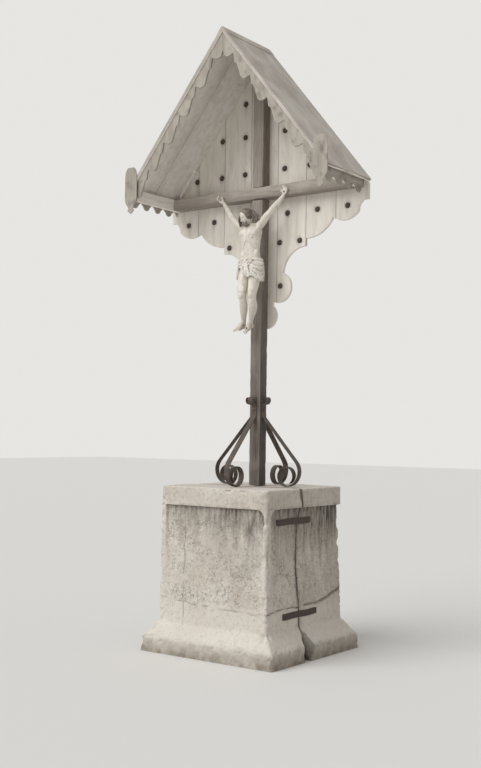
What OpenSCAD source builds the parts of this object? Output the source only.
// Wayside shrine: a roofed crucifix on a stone pedestal.
// Millimetres, +Z up, the front faces -Y. The origin is the middle of the
// pedestal's base at ground level.

/* [Pedestal] */
// Width of the pedestal at its top, left to right
pedestal_w = 950; // [850:10:1050]
// Depth of the pedestal at its top, front to back
pedestal_d = 972; // [880:10:1080]
// Height of the pedestal
pedestal_h = 1200; // [1050:10:1400]
// How much wider the die is at its foot than at its top
die_batter = 16; // [4:1:40]
// Width of the plinth, left to right
plinth_w = 1174; // [1100:2:1300]
// Depth of the plinth, front to back
plinth_d = 1138; // [1100:2:1300]
// Height of the plinth's upright edge
plinth_h = 100; // [60:5:160]
// Height of the slope between plinth and die
splay_h = 121; // [60:1:180]
// Bevel along the top edges
top_bevel = 12; // [4:1:25]
// Height of the flush band above the sunken panels
cap_band_h = 135; // [90:5:180]
// Width of the flush strip beside the front panel on the left, and beside the side panels in front
panel_strip = 50; // [40:1:80]
// Width of the flush strip beside the front panel on the right
panel_strip_right = 31; // [25:1:80]
// Depth of a sunken panel under the cap band
panel_depth = 22; // [10:1:30]
// Radius of a panel's upper shoulders
panel_shoulder = 66; // [30:2:100]
// Clear stone between the slope and the foot of a panel
panel_foot = 30; // [20:5:80]
// Distance of the upright joint in front of the middle
joint_forward = 100; // [60:5:160]
// Width of the open joint between the blocks
joint_gap = 9; // [3:1:14]
// How deep the joint is open
joint_depth = 16; // [8:1:30]
// How far back the right foot is broken off at the front block's joint
chip_front = 90; // [30:2:110]
// How far back the right foot is broken off at the rear block's joint
chip_rear = 46; // [30:2:110]

/* [Iron cramps] */
// Length of a cramp
cramp_l = 430; // [300:10:460]
// Height of a cramp's bar
cramp_h = 45; // [30:1:60]
// Thickness of a cramp's bar
cramp_t = 12; // [8:1:20]
// How far a cramp stands proud of the stone
cramp_proud = 4; // [1:1:6]
// Clearance round a cramp in its slot
cramp_clear = 2; // [1:0.5:4]
// Height of the upper cramps' middle
cramp_upper_z = 972; // [800:5:1000]
// Height of the lower cramps' middle
cramp_lower_z = 317; // [300:5:450]
// How far in front of the middle the upper cramps' middle is
cramp_upper_forward = 135; // [100:5:150]
// How far in front of the middle the lower cramps' middle is
cramp_lower_forward = 75; // [60:5:140]

/* [Post and crossbeam] */
// Width and depth of the post
post_w = 92; // [80:1:110]
// Distance of the post's axis behind the middle
post_back = 53; // [20:1:80]
// Bevel along the post's edges
post_bevel = 9; // [4:1:14]
// How far the crossbeam's ends lie in from the eaves' edges
beam_in = 90; // [70:2:150]
// Height of the crossbeam's underside above ground
beam_z = 3312; // [3200:2:3340]
// Height of the crossbeam's section
beam_h = 84; // [60:1:100]

/* [Iron braces] */
// Width of the flat bar
bar_w = 45; // [30:1:60]
// Thickness of the flat bar
bar_t = 7; // [5:0.5:10]
// Height above the stone of a brace's upper end on the post
brace_top = 655; // [620:5:720]
// Height above the stone at which the small hook leaves the bar
hook_leave = 580; // [560:2:600]
// Radius where the hook leaves the bar
hook_leave_r = 20; // [14:1:24]
// Radius of the hook's curl
hook_r = 28; // [20:1:32]
// Height above the stone at which a brace leaves the post
brace_leave = 500; // [440:5:540]
// Radius where a brace leaves the post
brace_leave_r = 60; // [30:5:90]
// Radius of the big outer bend
brace_bend_r = 108; // [90:2:120]
// Distance of the big bend's middle from the post's axis
brace_bend_reach = 262; // [245:2:290]
// Distance of the scroll's middle from the post's axis
scroll_reach = 208; // [190:2:225]
// Radii of the scroll's half turns, from the outside in
scroll_r_1 = 88; // [78:1:96]
// Second half turn
scroll_r_2 = 60; // [52:1:68]
// Third half turn
scroll_r_3 = 36; // [28:1:42]

/* [Back boards] */
// How far the back's outer edges lie in from the eaves' edges
back_in = 1; // [0:1:20]
// Thickness of the boards
board_t = 25; // [18:1:35]
// Open joint between two boards
board_gap = 2; // [1:0.5:5]
// Distance of the first joint from the middle
joint_1 = 122; // [100:2:140]
// Distance of the second joint from the middle
joint_2 = 372; // [350:2:390]
// Distance of the third joint from the middle
joint_3 = 625; // [600:2:650]
// How far below the crossbeam the outer corners end
corner_drop = 84; // [70:2:110]
// Diameter of a stud
stud_d = 42; // [20:1:50]
// Height of a stud's dome
stud_h = 9; // [5:1:14]

/* [Roof] */
// Height of the ridge above ground
ridge_z = 4450; // [4350:5:4600]
// Height of the eaves above ground
eave_z = 3370; // [3360:2:3400]
// Width over the eaves
roof_w = 1780; // [1760:5:1860]
// Distance of the front edge in front of the middle
roof_front = 445; // [350:5:520]
// How far the roof reaches behind the back boards
roof_behind = 11; // [5:1:60]
// Thickness of the roof boards
deck_t = 18; // [12:1:28]
// Thickness of the sheet metal
sheet_t = 3; // [2:0.5:5]
// Width of the ridge cap on each side
cap_w = 70; // [40:5:120]
// Size of the battens under the slopes at the back boards
batten_w = 28; // [20:1:40]
// Length of a batten, measured level
batten_l = 148; // [60:2:700]

/* [Verge boards] */
// Thickness of the scalloped verge boards
verge_t = 14; // [8:1:22]
// How far the roof stands in front of the verge boards
verge_setback = 12; // [4:1:30]
// Depth of a verge board at a cusp, measured upright
verge_cusp = 56; // [50:1:90]
// Distance from one tongue to the next, measured level
tongue_pitch = 148; // [120:1:180]
// How far past the middle the topmost tongue would begin, if it weren't cut off there
tongue_past = 54; // [0:1:80]
// Depth of a tongue below its cusp line, measured upright
tongue_drop = 92; // [60:2:110]

/* [Eave valances] */
// Thickness of a valance
valance_t = 10; // [8:1:16]
// Height of a valance down to its teeth's tips
valance_h = 118; // [90:2:150]
// Height of the teeth
tooth_h = 52; // [30:1:70]
// Number of teeth
teeth = 4; // [3:1:7]
// How much nearer the front the teeth sit on the left than on the right
tooth_shift = 40; // [0:1:60]
// Width and height of the side rails
rail_w = 40; // [30:1:44]

/* [Corner pendants] */
// Thickness of a pendant
pendant_t = 8; // [6:1:22]
// Height of a pendant
pendant_h = 345; // [280:5:400]
// Width of a pendant
pendant_w = 116; // [90:1:130]
// Distance of a pendant's middle in from the eave's edge
pendant_in = 52; // [35:1:60]
// How far a pendant hangs below the eave's edge
pendant_below = 154; // [130:2:200]

/* [Figure] */
// Height of the figure from the soles to the top of the head
figure_h = 900; // [850:5:950]
// How far above the crossbeam's underside the palms are fixed
palm_up = 14; // [8:1:30]
// Turn of the head to the figure's right
head_turn = 34; // [0:1:60]
// How far the head is bowed
head_bow = 28; // [0:1:45]
// Lean of the head
head_lean = 4; // [-20:1:20]
// Height of the folds in the loincloth
fold_h = 7; // [0:0.5:12]

/* [Hidden] */

$fn = 48;
big = 3000;
arc_steps = 14;

stone_colour = [0.80, 0.75, 0.66];
iron_colour = [0.27, 0.22, 0.19];
beam_colour = [0.42, 0.38, 0.34];
board_colour = [0.78, 0.75, 0.69];
sheet_colour = [0.58, 0.58, 0.57];
trim_colour = [0.66, 0.64, 0.60];
figure_colour = [0.88, 0.85, 0.79];
hair_colour = [0.30, 0.22, 0.17];

// Pedestal
die_foot_z = plinth_h + splay_h;
panel_top_z = pedestal_h - cap_band_h;
panel_low_z = die_foot_z + panel_foot;
joint_y = -joint_forward;

// Post, crossbeam and boards
eave_x = roof_w / 2;
beam_half = eave_x - beam_in;
back_half_w = eave_x - back_in;
post_front = post_back - post_w / 2;
post_rear = post_back + post_w / 2;
beam_top = beam_z + beam_h;
boards_rear = post_rear + board_t;
joints = [joint_1, joint_2, joint_3, back_half_w];

// Roof
slope = atan((ridge_z - eave_z) / eave_x);
roof_rear = boards_rear + roof_behind;
roof_len = roof_front + roof_rear;
roof_t = deck_t + sheet_t;
verge_front = -roof_front + verge_setback;
verge_rear = verge_front + verge_t;
function roof_z(x) = ridge_z - abs(x) * tan(slope);
function under_z(x) = roof_z(x) - roof_t / cos(slope);

// Extrudes a shape drawn in x and z, from y0 backwards by t
module upright(y0, t) {
    translate([0, y0 + t, 0]) rotate([90, 0, 0]) linear_extrude(t) children();
}

// Extrudes a shape drawn in y and z, from x0 to the right by t
module sideways(x0, t) {
    translate([x0, 0, 0]) rotate([90, 0, 90]) linear_extrude(t) children();
}

// The left side is the right side mirrored
module left_side() {
    mirror([1, 0, 0]) children();
}

function arc(centre, r, from, to, steps = arc_steps) =
    [for (i = [0 : steps]) let (a = from + (to - from) * i / steps) centre + r * [cos(a), sin(a)]];

// Pedestal

// Outline of the whole pedestal seen from one side
module pedestal_outline(top_w, foot_w) {
    h = top_w / 2;
    f = foot_w / 2;
    d = h + die_batter / 2;
    polygon([
        [-f, 0], [f, 0], [f, plinth_h], [d, die_foot_z], [h, pedestal_h - top_bevel],
        [h - top_bevel, pedestal_h], [-h + top_bevel, pedestal_h], [-h, pedestal_h - top_bevel],
        [-d, die_foot_z], [-f, plinth_h]
    ]);
}

// Places a shape on a panel's face: x along the face, z up it, the stone behind it at +y
module on_panel(face, turn) {
    d = face / 2 + die_batter / 2;
    face_low = d - die_batter / 2 * (panel_low_z - die_foot_z) / (pedestal_h - die_foot_z);
    face_top = d - die_batter / 2 * (panel_top_z - die_foot_z) / (pedestal_h - die_foot_z);
    tilt = atan((face_low - face_top + panel_depth) / (panel_top_z - panel_low_z));
    rotate([0, 0, turn]) translate([0, -face_low, panel_low_z]) rotate([-tilt, 0, 0]) children();
}

// The stone taken away in front of a sunken panel, between two places along its face.
// An end that stops short of the corner can have a round shoulder.
module panel_cut(face, turn, from, to, round_from, round_to) {
    h = panel_top_z - panel_low_z;
    r = panel_shoulder;
    on_panel(face, turn) upright(-2 * panel_depth, 2 * panel_depth) {
        translate([from, 0]) square([to - from, h - r]);
        translate([from + (round_from ? r : 0), 0])
            square([to - from - (round_from ? r : 0) - (round_to ? r : 0), h]);
        if (round_from) translate([from + r, h - r]) circle(r);
        if (round_to) translate([to - r, h - r]) circle(r);
    }
}

// One cramp lying in the panel of the right or left side
module cramp_bar(turn, forward, z, grow) {
    on_panel(pedestal_w, turn)
        translate([(turn > 0 ? 1 : -1) * -forward, -cramp_proud, z - panel_low_z])
            translate([-cramp_l / 2 - grow, 0, -cramp_h / 2 - grow])
                cube([cramp_l + 2 * grow, cramp_t + grow, cramp_h + 2 * grow]);
}

module all_cramps(grow) {
    for (turn = [90, -90]) {
        cramp_bar(turn, cramp_upper_forward, cramp_upper_z, grow);
        cramp_bar(turn, cramp_lower_forward, cramp_lower_z, grow);
    }
}

// The two blocks together, before the joint parts them
module pedestal_form() {
    difference() {
        intersection() {
            upright(-big / 2, big) pedestal_outline(pedestal_w, plinth_w);
            sideways(-big / 2, big) pedestal_outline(pedestal_d, plinth_d);
        }
        panel_cut(pedestal_d, 0, -pedestal_w / 2 + panel_strip, pedestal_w / 2 - panel_strip_right, false, true);
        panel_cut(pedestal_w, 90, -pedestal_d / 2 + panel_strip, pedestal_d, true, false);
        panel_cut(pedestal_w, -90, -pedestal_d, pedestal_d / 2 - panel_strip, false, true);
        panel_cut(pedestal_d, 180, -pedestal_w, pedestal_w, false, false);
        all_cramps(cramp_clear);
    }
}

// How the joint wanders: share of the height, then how far behind its own line it lies there
joint_wander = [
    [-0.01, 14], [0.18, 18], [0.34, 11], [0.54, -14], [0.775, 3], [0.895, 60], [0.97, 43], [1.01, 34]
];

// The joint seen from the side, moved backwards by a distance
function joint_line(off) = [for (p = joint_wander) [joint_y + p[1] + off, p[0] * pedestal_h]];

// Everything in front of the joint, and everything behind it
module before_joint(off) {
    sideways(-big / 2, big) polygon(concat([[-big, -big]], [[joint_line(off)[0].x, -big]], joint_line(off),
        [[joint_line(off)[len(joint_wander) - 1].x, big]], [[-big, big]]));
}

// The open part of the joint, all round the blocks' meeting faces
module joint_groove() {
    difference() {
        before_joint(joint_gap / 2);
        before_joint(-joint_gap / 2);
        upright(-big / 2, big) translate([0, -joint_depth])
            pedestal_outline(pedestal_w - 2 * joint_depth - 2 * panel_depth, plinth_w - 2 * joint_depth);
    }
}

// What has broken off the foot on the right, from the joint along the plinth by a distance
module foot_chip(along) {
    low = plinth_w / 2 + 1;
    inner = pedestal_w / 2 + die_batter / 2;
    start = joint_y + joint_wander[1][1];
    translate([0, 0, -1]) linear_extrude(die_foot_z)
        polygon([[inner, start - sign(along) * joint_depth], [inner, start],
            [low, start + along], [low, start - sign(along) * joint_depth]]);
}

module pedestal_front_block() {
    color(stone_colour) difference() {
        intersection() {
            pedestal_form();
            before_joint(0);
        }
        joint_groove();
        foot_chip(-chip_front);
    }
}

module pedestal_rear_block() {
    color(stone_colour) difference() {
        pedestal_form();
        joint_groove();
        before_joint(0);
        foot_chip(chip_rear);
    }
}

// Post and crossbeam

module post() {
    h = post_w / 2;
    color(beam_colour) difference() {
        intersection() {
            translate([0, post_back, 0]) linear_extrude(ridge_z) polygon([
                [-h, -h + post_bevel], [-h + post_bevel, -h], [h - post_bevel, -h], [h, -h + post_bevel],
                [h, h - post_bevel], [h - post_bevel, h], [-h + post_bevel, h], [-h, h - post_bevel]
            ]);
            upright(0, big) polygon([
                [-h, pedestal_h], [h, pedestal_h], [h, under_z(h)], [0, under_z(0)], [-h, under_z(h)]
            ]);
        }
        translate([-post_w, post_front - 1, beam_z]) cube([2 * post_w, post_w / 2 + 1, beam_h]);
    }
}

// Halved into the post: the beam keeps its front half there
module crossbeam() {
    color(beam_colour) difference() {
        translate([-beam_half, post_front, beam_z]) cube([2 * beam_half, post_w, beam_h]);
        translate([-post_w / 2, post_back, beam_z - 1]) cube([post_w, post_w, beam_h + 2]);
    }
}

// Iron braces

// Middle line of a brace, as distance from the post's axis and height above the stone
function brace_line() =
    let (
        face = post_w / 2 + bar_t / 2,
        leave = [face + brace_leave_r, brace_leave],
        bend = [brace_bend_reach, brace_bend_r + bar_t / 2],
        apart = bend - leave,
        heading = atan2(apart.y, apart.x) + asin((brace_leave_r + brace_bend_r) / norm(apart)),
        scroll_1 = [scroll_reach, scroll_r_1 + bar_t / 2],
        scroll_2 = scroll_1 + [0, scroll_r_1 - scroll_r_2],
        scroll_3 = scroll_2 - [0, scroll_r_2 - scroll_r_3]
    )
    concat(
        [[face, brace_top]],
        arc(leave, brace_leave_r, 180, 270 + heading, 6),
        arc(bend, brace_bend_r, heading + 90, -90),
        arc(scroll_1, scroll_r_1, -90, -270),
        [for (p = arc(scroll_2, scroll_r_2, 90, -90)) if (p.x > scroll_reach) p],
        arc(scroll_3, scroll_r_3, -90, -270)
    );

// Points of a line moved sideways by a distance
function beside(line, off) =
    [for (i = [0 : len(line) - 1])
        let (
            along = line[min(i + 1, len(line) - 1)] - line[max(i - 1, 0)],
            dir = along / norm(along)
        )
        line[i] + off * [-dir.y, dir.x]];

function reversed(list) = [for (i = [len(list) - 1 : -1 : 0]) list[i]];

// Middle line of the hook that is split off the bar below its upper end
function hook_line() =
    let (
        face = post_w / 2 + bar_t / 2,
        curl = [face + hook_leave_r, hook_leave + hook_leave_r + hook_r]
    )
    concat(
        [[face, hook_leave - bar_t]],
        arc([face + hook_leave_r, hook_leave], hook_leave_r, 180, 90, 8),
        [for (p = arc(curl, hook_r, -90, 50, 10)) if (p.x > curl.x + 1) p]
    );

module flat_bar(line) {
    polygon(concat(beside(line, bar_t / 2), reversed(beside(line, -bar_t / 2))));
}

module brace(turn) {
    color(iron_colour) translate([0, post_back, pedestal_h]) rotate([0, 0, turn])
        upright(-bar_w / 2, bar_w) {
            flat_bar(brace_line());
            flat_bar(hook_line());
        }
}

module brace_right() { brace(0); }
module brace_back() { brace(90); }
module brace_left() { brace(180); }
module brace_front() { brace(270); }

// Back boards

// Sizes of the scalloped lower edge, heights measured down from the crossbeam
lobe_1 = [693, 62, 151];
lobe_2 = [385, 66, 245];
step_low = 365;
cove_r = 198;
lobe_3 = [135, 652, 112];
lobe_4 = [23, 857, 97];
lobe_neck = 88;
corner_in = 14;
corner_r = 64;

// Half of the lower edge: lobes added to plain strips, with a cove cut under the step
module back_half() {
    low = beam_z;
    difference() {
        union() {
            polygon([
                [0, low - step_low], [joint_2, low - step_low], [joint_2, low], [back_half_w, low - corner_drop],
                [back_half_w, ridge_z], [0, ridge_z]
            ]);
            translate([joint_2, low - corner_drop]) square([back_half_w - joint_2, big]);
            translate([lobe_1.x, low - lobe_1.y]) circle(lobe_1.z);
            intersection() {
                translate([lobe_2.x, low - lobe_2.y]) circle(lobe_2.z);
                translate([joint_2 - 1, low - big]) square([back_half_w, big]);
            }
            translate([0, low - lobe_3.y]) square([joint_2 - cove_r, lobe_3.y - step_low + 1]);
            translate([lobe_3.x, low - lobe_3.y]) circle(lobe_3.z);
            translate([0, low - lobe_4.y]) square([lobe_neck, lobe_4.y - lobe_3.y]);
            translate([lobe_4.x, low - lobe_4.y]) circle(lobe_4.z);
            translate([0, low - lobe_4.y - lobe_4.z]) square([lobe_4.x, lobe_4.z]);
        }
        translate([back_half_w - corner_in, low - corner_drop - corner_r]) circle(corner_r);
    }
    difference() {
        translate([joint_2 - cove_r, low - step_low - cove_r]) square([cove_r, cove_r + 1]);
        translate([joint_2, low - step_low - cove_r]) circle(cove_r);
        translate([joint_2 - cove_r + 1, low - lobe_3.y - lobe_3.z]) square([cove_r, lobe_3.z]);
    }
}

module back_outline() {
    intersection() {
        union() {
            back_half();
            mirror([1, 0]) back_half();
        }
        polygon([[0, under_z(0)], [-big, under_z(big)], [-big, 0], [big, 0], [big, under_z(big)]]);
    }
}

// The board between two distances from the middle
module board(from, to) {
    color(board_colour) upright(post_rear, board_t) intersection() {
        back_outline();
        translate([from, 0]) square([to - from, big * 2]);
    }
}

module board_centre() { board(-joint_1 + board_gap / 2, joint_1 - board_gap / 2); }
module board_right_1() { board(joints[0] + board_gap / 2, joints[1] - board_gap / 2); }
module board_right_2() { board(joints[1] + board_gap / 2, joints[2] - board_gap / 2); }
module board_right_3() { board(joints[2] + board_gap / 2, joints[3]); }
module board_left_1() { left_side() board_right_1(); }
module board_left_2() { left_side() board_right_2(); }
module board_left_3() { left_side() board_right_3(); }

// Rows of studs: height from the crossbeam's underside, then distances from the boards' joints
stud_rows = [
    [748, [joint_1 + 58]],
    [498, [joint_1 + 58, joint_2 + 25]],
    [218, [joint_1 + 58, joint_2 + 28, joint_3 + 17]],
    [-112, [joint_1 + 88, joint_2 + 98, joint_3 + 97]],
    [-322, [joint_1 + 22, joint_2 - 52]],
    [-642, [joint_1 + 32]]
];
stud_sides = 12;
stud_clear = batten_w / cos(slope) + stud_d;

// A low dome, its profile a quarter of an ellipse
module stud() {
    profile = [for (turn = [0, 35, 65, 90]) [stud_d / 2 * cos(turn), stud_h * sin(turn)]];
    rotate([90, 0, 0]) rotate_extrude($fn = stud_sides) polygon(concat([[0, 0]], profile));
}

module board_studs() {
    color(iron_colour)
        for (row = stud_rows, x = row[1], side = [-1, 1])
            translate([side * x, post_rear, min(beam_z + row[0], under_z(x) - stud_clear)]) stud();
}

// Roof

// A layer of the right slope between two depths below its outer face
module slope_layer(top, bottom) {
    drop_top = top / cos(slope);
    drop_bottom = bottom / cos(slope);
    foot = [eave_x, eave_z];
    inward = [-sin(slope), -cos(slope)];
    upright(-roof_front, roof_len) polygon([
        [0, ridge_z - drop_top], foot + top * inward, foot + bottom * inward, [0, ridge_z - drop_bottom]
    ]);
}

module roof_deck_right() { color(trim_colour) slope_layer(sheet_t, roof_t); }
module roof_deck_left() { left_side() roof_deck_right(); }
module roof_sheet_right() { color(sheet_colour) slope_layer(0, sheet_t); }
module roof_sheet_left() { left_side() roof_sheet_right(); }

// A folded strip over the ridge
module ridge_cap() {
    w = cap_w * cos(slope);
    color(sheet_colour) upright(-roof_front, roof_len) polygon([
        [0, ridge_z], [w, roof_z(w)], [w, roof_z(w) + sheet_t], [0, ridge_z + sheet_t / cos(slope)],
        [-w, roof_z(w) + sheet_t], [-w, roof_z(w)]
    ]);
}

// A batten in the corner between slope and back boards, above the crossbeam
module slope_batten_right() {
    near = beam_half - batten_l;
    far = beam_half;
    drop = batten_w / cos(slope);
    square_end = [near - batten_w * sin(slope), under_z(near) - batten_w * cos(slope)];
    color(board_colour) upright(post_rear - batten_w, batten_w) polygon([
        [near, under_z(near)], [far, under_z(far)],
        [far, max(under_z(far) - drop, beam_top)], square_end
    ]);
}
module slope_batten_left() { left_side() slope_batten_right(); }

// Rails from the crossbeam's ends forward to the verge boards
module side_rail_right() {
    x0 = beam_half;
    x1 = x0 + rail_w;
    color(board_colour) upright(verge_rear, post_rear - verge_rear) intersection() {
        translate([x0, beam_z]) square([rail_w, beam_h]);
        polygon([[0, 0], [x1, 0], [x1, under_z(x1)], [x0, under_z(x0)], [0, under_z(x0)]]);
    }
}
module side_rail_left() { left_side() side_rail_right(); }

// Verge boards

// One tongue, as distance out and down from its cusp; span and fall reach the next cusp
function tongue(span, fall) =
    let (
        step_out = span * 0.07,
        step_down = fall * 0.36,
        belly_r = span * 0.26,
        belly = [span * 0.66, -(fall + tongue_drop * 0.17) + belly_r]
    )
    concat(
        [[0, 0], [step_out, -step_down], [span * 0.20, -step_down - fall * 0.08]],
        arc(belly, belly_r, 185, 290, 7)
    );

// Each verge board stops behind the pendant at its lower end
module verge_shape() {
    reach = eave_x - pendant_in;
    fall = tongue_pitch * tan(slope);
    first_z = under_z(0) - verge_cusp + tongue_past * tan(slope);
    tongues = ceil((reach + tongue_past) / tongue_pitch);
    lower = [for (k = [0 : tongues - 1], p = tongue(tongue_pitch, fall))
        [k * tongue_pitch - tongue_past + p.x, first_z - k * fall + p.y]];
    intersection() {
        polygon(concat(
            [[-tongue_past, 2 * big]], lower,
            [[eave_x, under_z(eave_x) - verge_cusp], [eave_x, 2 * big]]));
        polygon([[0, 0], [reach, 0], [reach, under_z(reach)], [0, under_z(0)]]);
    }
}

module verge_board_right() {
    color(trim_colour) upright(verge_front, verge_t) verge_shape();
}
module verge_board_left() { left_side() verge_board_right(); }

// Eave valances

// Radius of a tooth's tip as a share of the pitch, and the angle at which its sides leave it
tooth_tip = 0.26;
tooth_side = 15;

// A board along the eave with round-tipped teeth, hung under the roof outside the rail
module valance(forward) {
    x0 = beam_half + rail_w;
    top = under_z(x0 + valance_t);
    run = post_rear - verge_rear;
    pitch = run / teeth;
    tip_r = pitch * tooth_tip;
    low = top - valance_h;
    start = verge_rear - forward;
    end = start + (teeth + 1) * pitch;
    edge = [for (i = [0 : teeth]) each concat(
        [[start + i * pitch, low + tooth_h]],
        arc([start + (i + 0.5) * pitch, low + tip_r], tip_r, 180 + tooth_side, 360 - tooth_side, 5))];
    color(trim_colour) sideways(x0, valance_t) intersection() {
        polygon(concat([[start, top]], edge, [[end, low + tooth_h], [end, top]]));
        translate([verge_rear, low]) square([run, valance_h]);
    }
}
module eave_valance_right() { valance(0); }
module eave_valance_left() { left_side() valance(tooth_shift); }

// Corner pendants

// Half width of a pendant at fractions of its height from the top
pendant_profile = [
    [0, 0.45], [0.02, 0.62], [0.05, 0.78], [0.10, 0.90], [0.18, 0.98], [0.30, 1.00], [0.70, 1.00],
    [0.75, 0.93], [0.85, 0.50], [0.875, 0.36], [0.895, 0.36], [0.91, 0.50],
    [0.93, 0.54], [0.95, 0.44], [0.98, 0.20], [1, 0.05]
];

module corner_pendant_right() {
    x = eave_x - pendant_in;
    top = eave_z - pendant_below + pendant_h;
    right = [for (p = pendant_profile) [x + p[1] * pendant_w / 2, top - p[0] * pendant_h]];
    left = [for (p = pendant_profile) [x - p[1] * pendant_w / 2, top - p[0] * pendant_h]];
    color(trim_colour) upright(-roof_front - pendant_t, pendant_t) polygon(concat(right, reversed(left)));
}
module corner_pendant_left() { left_side() corner_pendant_right(); }

// Figure

// The figure's own frame: x to the right, y from the post's front face, z from the palms
fig = figure_h / 900;
ring_sides = 18;

module in_figure() {
    translate([0, post_front, beam_z + palm_up]) scale(fig) children();
}

// Rings along a path: each section is [x, y, z, half width, half depth]
function place(s) = [s[0], s[1], s[2]];
function loft_ring(path, i, n) =
    let (
        last = len(path) - 1,
        along = place(path[min(i + 1, last)]) - place(path[max(i - 1, 0)]),
        t = along / norm(along),
        across = cross(t, [0, -1, 0]),
        u = across / norm(across),
        v = cross(t, u)
    )
    [for (k = [0 : n - 1])
        place(path[i]) + u * path[i][3] * cos(360 * k / n) + v * path[i][4] * sin(360 * k / n)];

module loft(path, n = ring_sides) {
    last = len(path) - 1;
    points = [for (i = [0 : last], p = loft_ring(path, i, n)) p];
    sides = [for (i = [0 : last - 1], k = [0 : n - 1], half = [0, 1])
        let (a = i * n + k, b = a + n, c = (i + 1) * n + (k + 1) % n, d = c - n)
        half == 0 ? [a, b, c] : [a, c, d]];
    foot = [for (k = [1 : n - 2]) [0, k, k + 1]];
    head = [for (k = [1 : n - 2]) [last * n, last * n + k + 1, last * n + k]];
    polyhedron(points, concat(foot, sides, head));
}

torso_path = [
    [2, -58, -584, 30, 28], [2, -58, -566, 58, 42], [2, -59, -520, 79, 54], [2, -60, -480, 77, 51],
    [1, -62, -440, 71, 46], [0, -65, -400, 70, 46], [-1, -68, -360, 76, 52], [-3, -71, -320, 83, 57],
    [-4, -71, -280, 87, 58], [-4, -66, -250, 85, 52], [-3, -63, -228, 75, 42], [-4, -66, -208, 52, 33],
    [-6, -76, -190, 32, 27], [-10, -90, -172, 26, 26]
];
leg_right_path = [
    [36, -60, -500, 40, 44], [42, -70, -550, 44, 47], [48, -88, -610, 42, 46], [53, -108, -670, 37, 41],
    [56, -123, -718, 31, 35], [56, -127, -746, 29, 32], [54, -118, -776, 28, 30], [49, -103, -812, 30, 34],
    [40, -92, -848, 27, 31], [22, -80, -888, 20, 22], [8, -68, -922, 16, 18], [4, -58, -946, 16, 19],
    [3, -60, -964, 17, 19], [1, -80, -982, 19, 15], [0, -102, -996, 20, 11], [-2, -118, -1010, 17, 9],
    [-3, -127, -1018, 8, 5]
];
leg_left_path = [
    [-36, -60, -500, 40, 44], [-40, -70, -550, 44, 47], [-45, -88, -610, 42, 46], [-41, -108, -670, 37, 41],
    [-35, -123, -718, 31, 35], [-33, -128, -746, 29, 32], [-33, -118, -776, 28, 30], [-36, -104, -812, 29, 34],
    [-41, -93, -848, 26, 30], [-48, -82, -888, 19, 22], [-54, -72, -922, 15, 17], [-57, -62, -944, 16, 18],
    [-62, -64, -960, 17, 18], [-71, -92, -974, 18, 14], [-77, -116, -984, 20, 11], [-82, -136, -993, 16, 8],
    [-85, -146, -998, 8, 5]
];
arm_right_path = [
    [44, -60, -246, 28, 28], [74, -61, -220, 33, 33], [102, -58, -192, 29, 30], [124, -51, -162, 25, 26],
    [147, -43, -137, 22, 22], [162, -39, -119, 23, 22], [187, -32, -90, 21, 21], [214, -23, -58, 17, 17],
    [236, -15, -30, 13, 12], [245, -12, -14, 14, 10], [252, -11, 6, 20, 9], [258, -11, 26, 20, 8],
    [264, -14, 44, 14, 7], [269, -22, 57, 6, 5]
];
arm_left_path = [
    [-46, -60, -250, 28, 28], [-80, -61, -226, 33, 33], [-118, -58, -202, 28, 29], [-152, -52, -178, 24, 25],
    [-182, -45, -150, 22, 22], [-202, -41, -129, 23, 22], [-230, -34, -96, 21, 21], [-260, -25, -60, 17, 17],
    [-290, -17, -26, 13, 12], [-304, -13, -10, 14, 10], [-324, -11, 8, 20, 9], [-344, -11, 27, 20, 8],
    [-354, -21, 36, 16, 7], [-352, -34, 32, 12, 6], [-344, -40, 22, 6, 5]
];

module leg_forms() {
    loft(leg_right_path, 16);
    loft(leg_left_path, 16);
}
module torso_form() { loft(torso_path, 24); }
module body_form() {
    union() {
        torso_form();
        leg_forms();
    }
}
module figure_body() { color(figure_colour) in_figure() body_form(); }

module arm_forms() {
    loft(arm_right_path, 14);
    loft(arm_left_path, 14);
}
module figure_arm(path) {
    color(figure_colour) in_figure() difference() {
        loft(path, 14);
        torso_form();
    }
}
module figure_arm_right() { figure_arm(arm_right_path); }
module figure_arm_left() { figure_arm(arm_left_path); }

// The head's own frame: origin at its middle, z up to the crown, -y ahead
head_at = [-13, -119, -164];

module in_head() {
    translate(head_at) rotate([0, 0, -head_turn]) rotate([head_bow, 0, 0])
        rotate([0, head_lean, 0]) children();
}

// Hair over the skull, the face and the beard's two points
skull_path = [
    [0, -20, -50, 12, 9], [0, -20, -40, 20, 19], [0, -13, -28, 26, 28], [0, -6, -12, 30, 36],
    [0, -2, 6, 33, 40], [0, 3, 24, 35, 43], [0, 7, 40, 32, 40], [0, 8, 52, 21, 28], [0, 8, 57, 8, 12]
];
hair_path = [
    [0, 22, -44, 30, 22], [0, 20, -34, 36, 30], [0, 17, -16, 39, 35], [0, 15, 2, 41, 38],
    [0, 12, 20, 43, 43], [0, 10, 36, 41, 45], [0, 9, 49, 33, 38], [0, 9, 57, 21, 26], [0, 9, 60, 8, 10]
];
beard_path = [[16, -18, -36, 13, 12], [13, -23, -50, 11, 10], [8, -26, -62, 7, 7], [6, -27, -69, 2.5, 2.5]];
nose_path = [[0, -38, 8, 3, 3], [0, -43, -4, 3.5, 4], [0, -48, -15, 4.5, 4.5], [0, -46, -20, 3, 3]];
lock_right_path = [
    [12, -98, -120, 15, 13], [44, -98, -142, 20, 16], [62, -94, -172, 22, 16], [66, -92, -198, 17, 13],
    [58, -98, -219, 8, 6]
];
lock_left_path = [
    [-40, -112, -134, 12, 11], [-58, -112, -166, 13, 14], [-64, -112, -204, 11, 12], [-57, -118, -246, 4, 5]
];

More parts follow.
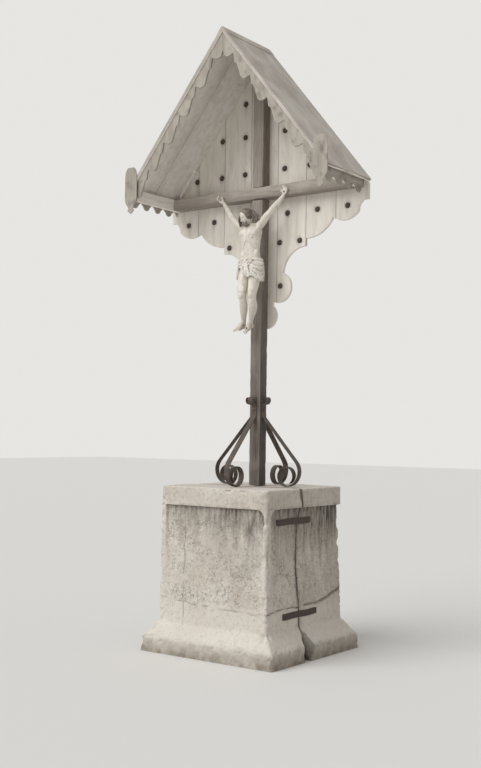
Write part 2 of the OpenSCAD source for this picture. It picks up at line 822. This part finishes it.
module figure_head() {
    color(hair_colour) in_figure() difference() {
        union() {
            in_head() {
                loft(skull_path, 20);
                loft(hair_path, 24);
                loft(nose_path, 8);
                for (side = [0, 1]) mirror([side, 0, 0]) loft(beard_path, 10);
            }
            loft(lock_right_path, 12);
            loft(lock_left_path, 12);
        }
        torso_form();
        arm_forms();
    }
}

// The loincloth's hem: turn about the hips from the front, and height
hem = [
    [-180, -600], [-150, -596], [-115, -598], [-80, -560], [-55, -528], [-30, -538], [-8, -572], [8, -604],
    [17, -616], [27, -600], [40, -606], [60, -630], [80, -640], [100, -634], [140, -612], [180, -600]
];
cloth_top = -466;
knot = [2, -136, -490];
cloth_rows = 12;
cloth_columns = 48;
// Way round the hips for a radian, the way to a fold's lowest place, and the step between folds
hip_radius = 98;
fold_reach = 150;
fold_step = 0.68;

// Folds fall from the knot in hung curves, each with its own slope at the knot
function fold_out(turn, z) =
    let (
        way = hip_radius * abs(turn - 4) * PI / 180,
        swing = max(way - way * way / (2 * fold_reach), 6),
        strength = min(max((way - 12) / 48, 0), 1) * (abs(turn) > 120 ? 0.3 : 1)
    )
    fold_h * abs(sin(180 * (knot.z - z) / swing / fold_step)) * strength;
function cloth_point(turn, share) =
    let (
        z = cloth_top + share * (lookup(turn, hem) - cloth_top),
        sink = min((cloth_top - z) / 140, 1.2),
        swell = sin(90 * min(sink, 1)),
        out = fold_out(turn, z) * min(share / 0.15, 1)
    )
    [
        1 + (84 + 15 * swell + out) * sin(turn),
        min(-62 - 16 * sink - (56 + 20 * swell + out) * cos(turn), -0.5),
        z
    ];

module cloth_wrap() {
    rows = [for (r = [0 : cloth_rows], c = [0 : cloth_columns - 1])
        cloth_point(360 * c / cloth_columns - 180, r / cloth_rows)];
    n = cloth_columns;
    count = len(rows);
    sides = [for (r = [0 : cloth_rows - 1], c = [0 : n - 1], half = [0, 1])
        let (a = r * n + c, b = a + n, e = (r + 1) * n + (c + 1) % n, d = e - n)
        half == 0 ? [a, e, b] : [a, d, e]];
    upper = [for (c = [0 : n - 1]) [count, (c + 1) % n, c]];
    lower = [for (c = [0 : n - 1]) [count + 1, cloth_rows * n + c, cloth_rows * n + (c + 1) % n]];
    polyhedron(concat(rows, [[1, -62, cloth_top], [1, -70, -560]]), concat(sides, upper, lower));
}

flap_path = [
    [4, -138, -492, 9, 8], [9, -146, -524, 13, 9], [17, -150, -556, 16, 9], [27, -149, -588, 14, 8],
    [35, -147, -607, 8, 5]
];
short_flap_path = [[0, -136, -492, 8, 7], [-9, -143, -516, 10, 7], [-13, -145, -538, 11, 6], [-14, -145, -556, 8, 4]];
strip_path = [
    [-76, -84, -470, 12, 16], [-92, -82, -486, 13, 24], [-102, -79, -530, 11, 26], [-109, -77, -580, 10, 25],
    [-116, -77, -616, 7, 14]
];
bow_path = [
    [4, -136, -488, 8, 7], [-12, -143, -476, 11, 9], [-32, -139, -475, 14, 9], [-40, -134, -486, 10, 8],
    [-30, -134, -497, 9, 7], [-8, -135, -494, 8, 6]
];

module loincloth() {
    color(board_colour) in_figure() difference() {
        union() {
            cloth_wrap();
            loft(flap_path, 12);
            loft(short_flap_path, 12);
            loft(strip_path, 12);
            loft(bow_path, 10);
            translate([2 * knot.x + 6, 0, 0]) mirror([1, 0, 0]) loft(bow_path, 10);
            translate(knot) scale([16, 11, 14]) sphere(1, $fn = 12);
        }
        body_form();
    }
}

pedestal_front_block();
pedestal_rear_block();
color(iron_colour) cramp_bar(90, cramp_upper_forward, cramp_upper_z, 0);  // cramp_upper_right
color(iron_colour) cramp_bar(90, cramp_lower_forward, cramp_lower_z, 0);  // cramp_lower_right
color(iron_colour) cramp_bar(-90, cramp_upper_forward, cramp_upper_z, 0);  // cramp_upper_left
color(iron_colour) cramp_bar(-90, cramp_lower_forward, cramp_lower_z, 0);  // cramp_lower_left
post();
crossbeam();
brace_front();
brace_right();
brace_back();
brace_left();
board_centre();
board_right_1();
board_right_2();
board_right_3();
board_left_1();
board_left_2();
board_left_3();
board_studs();
side_rail_right();
side_rail_left();
slope_batten_right();
slope_batten_left();
roof_deck_right();
roof_deck_left();
roof_sheet_right();
roof_sheet_left();
ridge_cap();
verge_board_right();
verge_board_left();
eave_valance_right();
eave_valance_left();
corner_pendant_right();
corner_pendant_left();
figure_body();
figure_head();
figure_arm_right();
figure_arm_left();
loincloth();
